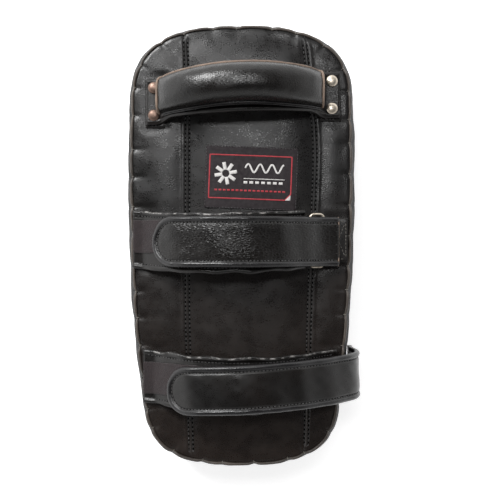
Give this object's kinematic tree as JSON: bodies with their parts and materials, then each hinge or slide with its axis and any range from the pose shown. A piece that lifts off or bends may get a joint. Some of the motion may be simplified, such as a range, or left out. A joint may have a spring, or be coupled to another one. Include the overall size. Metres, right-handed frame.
{
  "type": "thai pad",
  "caption": "Foam-filled leather kick pad with a riveted grip handle, a woven label and two forearm straps that close with hook and loop tape.",
  "frame": {"origin": "centre of the flat strike face, which the pad lies on", "axes": "+Z out of the back, where the handle and the straps are; +Y towards the handle end; +X across the pad, towards the wire ring"},
  "size_m": [0.2065, 0.399, 0.1515],
  "materials": {
    "cover_leather": "satin",
    "strap_leather": "satin",
    "strap_lining": "matte",
    "loop_tape": "matte",
    "hook_tape": "matte",
    "soft_foam": "matte",
    "dense_foam": "matte",
    "board": "matte",
    "label": "matte",
    "hardware": "polished"
  },
  "bodies": {
    "pad": {"strike_cover": "cover_leather", "seam_welt": "cover_leather", "back_panel_left": "cover_leather", "back_panel_center": "cover_leather", "back_panel_right": "cover_leather", "handle_patch_left": "cover_leather", "handle_patch_right": "cover_leather", "strike_foam": "dense_foam", "core_foam": "soft_foam", "back_foam": "soft_foam", "back_reinforcement": "board", "woven_label": "label", "handle_strap": "strap_leather", "grip_cover": "strap_leather", "grip_foam": "soft_foam", "handle_rivet_1": "hardware", "handle_rivet_2": "hardware", "handle_rivet_3": "hardware", "handle_rivet_4": "hardware", "rivet_washer_1": "hardware", "rivet_washer_2": "hardware", "rivet_washer_3": "hardware", "rivet_washer_4": "hardware", "mid_under_strap": "strap_leather", "mid_loop_tape": "loop_tape", "ring_keeper": "strap_leather", "lower_under_strap": "strap_leather", "lower_loop_tape": "loop_tape", "lower_strap_tail": "strap_leather"},
    "ring_link": {"ring": "hardware"},
    "mid_closing_strap": {"mid_closing_leather": "strap_leather", "mid_closing_lining": "strap_lining", "mid_closing_binding": "strap_leather", "mid_hook_tape": "hook_tape"},
    "lower_closing_strap": {"lower_closing_leather": "strap_leather", "lower_closing_lining": "strap_lining", "lower_closing_binding": "strap_leather", "lower_hook_tape": "hook_tape"}
  },
  "joints": [
    {"name": "mid_strap_open", "type": "hinge", "parent": "pad", "child": "mid_closing_strap", "pos_m": [0.0835, 0.0033, 0.1082], "axis": [0, 1, 0], "range_deg": [0, 150]},
    {"name": "lower_strap_open", "type": "hinge", "parent": "pad", "child": "lower_closing_strap", "pos_m": [0.1034, -0.112, 0.078], "axis": [0, 1, 0], "range_deg": [0, 140]},
    {"name": "ring_tilt", "type": "hinge", "parent": "pad", "child": "ring_link", "pos_m": [0.07, 0.0043, 0.1022], "axis": [0, 1, 0], "range_deg": [0, 10]}
  ]
}
